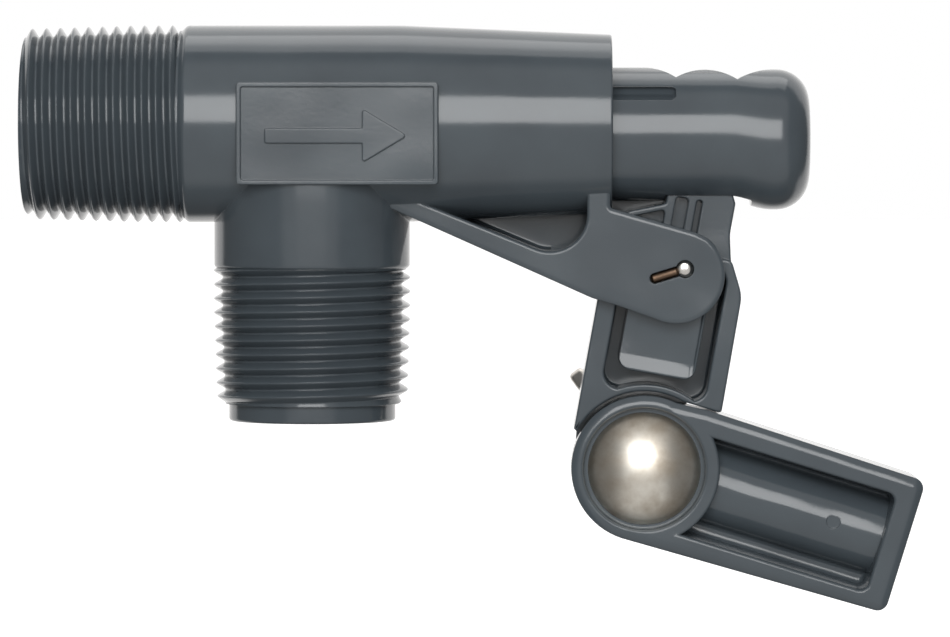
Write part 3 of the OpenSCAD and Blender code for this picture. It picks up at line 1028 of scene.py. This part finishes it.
@dataclass
class FloatArm:
    """The float arm: round head, pocketed beam and a bored, threaded boss for the float's rod."""

    tilt: float = 17.2
    half: float = 7.0
    length: float = 36.7
    head_r: float = 9.85
    web: float = 1.25
    boss_r: float = 5.5
    boss_t: float = 0.4
    hole_r: float = 2.55
    hole_l: float = 20.0
    recess: Point = (8.2, 1.2)
    rim: float = 2.0
    sweep: float = 45.0

    def frame(self) -> Matrix:
        """Where the arm's own frame lies in the valve's frame."""
        return Matrix.Translation((CLAMP.x, 0, CLAMP.z)) @ Matrix.Rotation(math.radians(self.tilt), 4, "Y")

    def beam_end(self) -> Corners:
        """Corners of the beam's far end, from below to above."""
        return [(self.length, -9.0, 1.5), (self.length, 9.6, 1.5)]

    def front_outline(self) -> Outline:
        """Outline of the front plate: the round head and the beam."""
        beam = rounded([(0, -self.head_r), *self.beam_end(), (6, 10.05, 8.0), (1.5, 9.73)], False)
        return beam + arc((0, 0), self.head_r, 82, 269)

    def rear_outline(self) -> Outline:
        """Outline of the rear plate, which leaves room for the lever's boss."""
        hollow = arc((0, 0), self.head_r + 0.35, 53.5, -53.5)
        return hollow + rounded([(6.07, -9.55), *self.beam_end(), (6.07, 10.0)], False)

    def boss_shape(self, side: int) -> Mesh:
        """The rod boss and the pocket's floor, with fillets between them, run along the beam.

        Args:
            side: -1 for the front and 1 for the rear.

        Returns:
            The solid that stays in the pocket on that side.
        """
        fillet = 0.8
        reach = self.boss_r + fillet
        spread = math.sqrt(reach * reach - (self.web + fillet) ** 2)
        lean = math.degrees(math.asin((self.web + fillet) / reach))
        ring = arc((self.boss_t + spread, self.web + fillet), fillet, -90, lean - 180, 12)
        ring += arc((self.boss_t, 0), self.boss_r, lean, 180 - lean, 4)[1:-1]
        ring += arc((self.boss_t - spread, self.web + fillet), fillet, -lean, -90, 12)
        low = self.web - 0.02
        ring = [(8.5, -0.6), (8.5, low), *ring, (-8.5, low), (-8.5, -0.6)]
        along = stack([(2.0, ring), (self.length + 2, ring)])
        return placed(along, Matrix.Diagonal((1, side, 1, 1)) @ ALONG_X)

    def pocket(self, side: int) -> Mesh:
        """Cutter for the pocket on one side."""
        face = side * self.half
        outline = box_outline(4, -7, self.length - 3.3, 6.7, 1.2)
        hole = well(outline, side * self.web, face, 0.45, 0.7, 0.4)
        neck = well(circle((0, 0), self.head_r + 0.3), side * (self.web - 2), face, -0.4)
        return combine(hole, Join.CUT, neck, self.boss_shape(side))

    def build(self, plastic: Material) -> None:
        """Builds the arm and dresses it.

        Args:
            plastic: The finish.
        """
        solid = combine(
            plate(self.front_outline(), -self.half, -0.05, self.rim, 0.1, self.sweep), Join.UNION,
            plate(self.rear_outline(), -0.6, self.half, 0.05, self.rim, self.sweep),
        )
        place = Vector((0, 0, self.boss_t))
        inside, past = self.length - 0.5, self.length + 1
        thread = Thread(BOLT_PITCH, self.hole_r + 0.6, 0.6, self.length - self.hole_l, past)
        bore = placed(thread.solid(), Matrix.Translation(place))
        mouth = lathe([(inside, 0), (inside, self.hole_r), (past, self.hole_r + 1.5), (past, 0)],
                      place=place, steps=64)
        dimple = plate(circle((26.5, 0.7), 0.95, 10), -8, -self.boss_r + 0.12)
        solid = combine(
            solid, Join.CUT, self.pocket(-1), self.pocket(1), bore, mouth, dimple,
            well(circle((0, 0), self.recess[0]), -self.half + self.recess[1], -self.half, 0.5, 0.3),
            plate(box_outline(-3.17, -3.17, 3.17, 3.17, 0.3), -9, 2),
        )
        finished(placed(solid, self.frame()), "arm_moulding", "arm_set", Slot.PLASTIC, plastic, "float_arm")


@dataclass
class ClampBolt:
    """The carriage bolt that clamps the arm to the lever."""

    seat_y: float = -5.8
    dome_r: float = 7.6
    dome_h: float = 3.4
    shank_r: float = 3.12
    length: float = 25.4

    def build(self, steel: Material) -> None:
        """Builds the bolt and dresses it.

        Args:
            steel: The finish.
        """
        radius = (self.dome_r ** 2 + self.dome_h ** 2) / (2 * self.dome_h)
        edge = math.degrees(math.asin(self.dome_r / radius))
        crown = arc((self.seat_y - self.dome_h + radius, 0), radius, 180, 180 - edge, 2.5)
        head = lathe(crown + [(self.seat_y, 0)], Axis.Y, steps=160)
        side, tip = self.shank_r, self.seat_y + self.length
        neck = plate(box_outline(-side, -side, side, side, 0.25), self.seat_y - 0.1, self.seat_y + 3.5)
        thread = Thread(BOLT_PITCH, self.shank_r, 0.62, self.seat_y + 3, tip)
        shank = placed(thread.solid(), Axis.Y.value)
        bolt = combine(head, Join.UNION, neck, shank)
        trim = lathe([(-12, 0), (-12, 9), (15, 9), (tip - 0.6, self.shank_r + 0.2),
                      (tip, self.shank_r - 0.5), (tip, 0)], Axis.Y)
        bolt = placed(combine(bolt, Join.COMMON, trim), FloatArm().frame())
        finished(bolt, "carriage_bolt", "arm_set", Slot.STEEL, steel, "arm_bolt", crease=40)


@dataclass
class NutStack:
    """The flat washer, the split washer and the wing nut behind the lever."""

    back_y: float = 5.0
    flat_t: float = 1.2
    lock_t: float = 1.6
    nut_t: float = 6.0
    wing_angle: float = 53.0
    wing_t: float = 2.2

    def washers(self, steel: Material) -> None:
        """The two washers.

        Args:
            steel: The finish.
        """
        place = Vector((CLAMP.x, self.back_y, CLAMP.z))
        flat = lathe(rounded([(0, 3.55, 0.1), (0, 7.9, 0.3), (self.flat_t, 7.9, 0.3),
                              (self.flat_t, 3.55, 0.1)]), Axis.Y, place, closed=True)
        finished(flat, "wide_washer", "washer_set", Slot.STEEL, steel, "flat_washer")
        start = self.flat_t + 0.04
        end = start + self.lock_t - 0.08
        ring = lathe(rounded([(start, 3.35, 0.15), (start, 6.05, 0.15), (end, 6.05, 0.15),
                              (end, 3.35, 0.15)]), Axis.Y, place, closed=True)
        gap = placed(plate(box_outline(2.5, -0.55, 7, 0.55), 0.5, 3.5),
                     Matrix.Translation(place) @ Matrix.Rotation(math.radians(34), 4, "Y"))
        ring = combine(ring, Join.CUT, gap)
        finished(ring, "split_washer", "washer_set", Slot.STEEL, steel, "lock_washer")

    def wing(self, turn: float) -> Mesh:
        """One wing, turned about the bolt.

        Args:
            turn: Angle from level in degrees.

        Returns:
            The wing, with the nut's seat at Y zero.
        """
        leaf = rounded([(2.8, 0.7), (5.4, 0.5, 1.5), (11.2, 3.5, 3.0), (15.35, 7.2, 1.6), (14.9, 11.1, 2.2),
                        (11.0, 11.4, 2.4), (6.6, 6.4, 2.5), (2.8, 5.3)])
        solid = plate(leaf, -self.wing_t / 2, self.wing_t / 2, 0.6)
        upright = Matrix(((1, 0, 0, 0), (0, 0, 1, 0), (0, 1, 0, 0), (0, 0, 0, 1)))
        return placed(solid, Matrix.Rotation(math.radians(-turn), 4, "Y") @ upright)

    def nut(self, steel: Material) -> None:
        """The wing nut.

        Args:
            steel: The finish.
        """
        hub = lathe(rounded([(0, 0), (0, 5.6, 0.3), (0.8, 5.6, 0.3), (self.nut_t - 0.5, 4.7, 0.5),
                             (self.nut_t, 4.1, 0.3), (self.nut_t, 0)], False), Axis.Y)
        nut = combine(hub, Join.UNION, *(self.wing(side - self.wing_angle) for side in (0, 180)))
        bore = placed(Thread(BOLT_PITCH, 3.3, 0.3, -1, self.nut_t + 1).solid(), Axis.Y.value)
        nut = combine(nut, Join.CUT, bore)
        nut_y = self.back_y + self.flat_t + self.lock_t
        nut = placed(nut, Matrix.Translation((CLAMP.x, nut_y, CLAMP.z)))
        finished(nut, "winged_nut", "nut_set", Slot.STEEL, steel, "wing_nut", crease=40)

    def build(self, steel: Material) -> None:
        """Builds the washers and the nut."""
        self.washers(steel)
        self.nut(steel)


# ---- Studio -------------------------------------------------------------------------------------


@dataclass(frozen=True)
class Softbox:
    """A rectangular soft light that faces a target."""

    name: str
    place: Triple
    size: Point
    power: float
    colour: Colour = (1.0, 1.0, 1.0)

    def build(self, target: Vector) -> None:
        """Hangs the light.

        Args:
            target: The point that it faces.
        """
        light = bpy.data.lights.new(self.name, "AREA")
        light.shape = "RECTANGLE"
        light.size, light.size_y = self.size
        light.energy = self.power
        light.color = self.colour
        lamp = bpy.data.objects.new(self.name, light)
        lamp.location = self.place
        lamp.rotation_euler = (target - Vector(self.place)).to_track_quat("-Z", "Y").to_euler()
        lamp.visible_camera = False
        bpy.context.scene.collection.objects.link(lamp)


@dataclass
class Studio:
    """The camera, the lights, the floor and the surroundings that the pieces mirror."""

    eye: Triple = (0.0668, -0.716, -0.0014)
    look: Triple = (0.0609, 0.0, -0.0264)
    lens: float = 200.0
    sensor: float = 36.0
    floor_gap: float = 0.045
    floor_glow: float = 0.62
    back_from: Point = (0.15, 0.40)
    back_sides: Point = (0.74, 0.86)
    back_glow: Point = (0.16, 1.3)
    under: Point = (-0.80, -0.55)
    front_from: Point = (-0.45, 0.0)
    front_sides: Point = (0.40, 0.66)
    front_glow: float = 0.50
    side_share: float = 0.12

    def camera(self) -> None:
        """Sets the camera."""
        data = bpy.data.cameras.new("camera")
        data.lens = self.lens
        data.sensor_width = self.sensor
        data.clip_start = 0.01
        camera = bpy.data.objects.new("camera", data)
        camera.location = self.eye
        camera.rotation_euler = (Vector(self.look) - Vector(self.eye)).to_track_quat("-Z", "Y").to_euler()
        bpy.context.scene.collection.objects.link(camera)
        bpy.context.scene.camera = camera

    def floor(self) -> None:
        """Lays the pale floor below the valve."""
        mesh = bmesh.new()
        bmesh.ops.create_grid(mesh, x_segments=1, y_segments=1, size=6.0)
        data = bpy.data.meshes.new("floor")
        mesh.to_mesh(data)
        mesh.free()
        graph = Graph("pale_floor")
        shade = graph.blended(graph.ranged(graph.spots(3.0), 0, 1), (0.78, 0.78, 0.78), (0.82, 0.82, 0.82))
        graph.feed(graph.shader, "Base Color", shade)
        graph.shader.inputs["Roughness"].default_value = 0.9
        graph.shader.inputs["Emission Color"].default_value = (1, 1, 1, 1)
        graph.shader.inputs["Emission Strength"].default_value = self.floor_glow
        data.materials.append(graph.material)
        floor = bpy.data.objects.new("floor", data)
        floor.location = (0.06, 0, cad_box[0][2] - self.floor_gap)
        floor.visible_glossy = False
        floor.visible_diffuse = False
        bpy.context.scene.collection.objects.link(floor)

    def surroundings(self) -> None:
        """Sets white surroundings to look at, and a bright back and dim sides to mirror."""
        world = bpy.data.worlds.new("studio")
        world.use_nodes = True
        bpy.context.scene.world = world
        tree = world.node_tree
        tree.nodes.clear()

        def node(kind: str, **settings: object) -> bpy.types.Node:
            """Adds a node with its settings."""
            made = tree.nodes.new("ShaderNode" + kind)
            for key, value in settings.items():
                setattr(made, key, value)
            return made

        def ramp(source: Socket, span: Point, low: float, high: float) -> Socket:
            """Spreads a value smoothly from a span to another range."""
            made = node("MapRange", interpolation_type="SMOOTHSTEP")
            tree.links.new(source, made.inputs[0])
            for index, number in enumerate((*span, low, high), start=1):
                made.inputs[index].default_value = number
            return made.outputs["Result"]

        def product(one: Socket, two: Socket) -> Socket:
            """Multiplies two values."""
            made = node("Math", operation="MULTIPLY")
            tree.links.new(one, made.inputs[0])
            tree.links.new(two, made.inputs[1])
            return made.outputs["Value"]

        direction = node("SeparateXYZ")
        tree.links.new(node("TexCoord").outputs["Generated"], direction.inputs["Vector"])
        side = node("Math", operation="ABSOLUTE")
        tree.links.new(direction.outputs["X"], side.inputs[0])
        behind = ramp(direction.outputs["Y"], self.back_from, 0.0, 1.0)
        behind = product(behind, ramp(side.outputs["Value"], self.back_sides, 1.0, 0.0))
        not_under = ramp(direction.outputs["Z"], self.under, 0.0, 1.0)
        in_front = ramp(direction.outputs["Y"], self.front_from, 1.0, 0.0)
        in_front = product(in_front, ramp(side.outputs["Value"], self.front_sides, 1.0, self.side_share))
        total = node("Math", operation="ADD")
        tree.links.new(ramp(product(behind, not_under), (0.0, 1.0), *self.back_glow), total.inputs[0])
        tree.links.new(ramp(in_front, (0.0, 1.0), 0.0, self.front_glow), total.inputs[1])
        mirrored = node("Background")
        tree.links.new(total.outputs["Value"], mirrored.inputs["Strength"])
        mirrored.inputs["Color"].default_value = (1.0, 0.99, 0.98, 1.0)
        seen = node("Background")
        seen.inputs["Color"].default_value = (1.0, 1.0, 1.0, 1.0)
        pick = node("MixShader")
        tree.links.new(node("LightPath").outputs["Is Camera Ray"], pick.inputs[0])
        tree.links.new(mirrored.outputs[0], pick.inputs[1])
        tree.links.new(seen.outputs[0], pick.inputs[2])
        tree.links.new(pick.outputs[0], node("OutputWorld").inputs["Surface"])

    def build(self) -> None:
        """Builds the whole studio."""
        bpy.context.scene.view_settings.view_transform = "Standard"
        self.camera()
        self.floor()
        self.surroundings()
        target = Vector((0.06, 0.0, -0.02))
        Softbox("front_box", (0.06, -0.76, 0.231), (0.50, 0.444), 3.5).build(target)
        Softbox("top_box", (0.06, 0.28, 0.80), (0.7, 0.5), 1.45).build(target)


def main() -> None:
    """Builds the studio and every sub-assembly in order."""
    logging.basicConfig(level=logging.INFO, format="%(name)s: %(message)s")
    Studio().build()
    plastic = MouldedPlastic().material("moulded_plastic_finish")
    slide_plastic = MouldedPlastic(gloss=(0.12, 0.20)).material("plunger_plastic_finish")
    steel = Stainless().material("stainless_finish")
    rubber = Rubber().material("rubber_finish")
    ValveBody().build(plastic)
    SeatSet().build(plastic)
    # The pin leg's dark brown colour is painted shade from its groove and a painted reflection of brown
    # surroundings.
    painted_shade_steel = Stainless((0.24, 0.16, 0.11), (0.12, 0.08, 0.055), (0.35, 0.5)).material("painted_shade_steel_finish")
    PivotPin().build(steel, painted_shade_steel)
    PlungerSet().build(slide_plastic, steel, rubber)
    Lever().build(plastic)
    FloatArm().build(plastic)
    # The bolt's bright, warm beige steel tint is a painted reflection of beige surroundings; its smudges are
    # random tone.
    warm_reflection_steel = Stainless((0.82, 0.78, 0.70), (0.52, 0.46, 0.38), (0.30, 0.44)).material("warm_reflection_stainless_finish")
    ClampBolt().build(warm_reflection_steel)
    NutStack().build(steel)


if __name__ == "__main__":
    main()
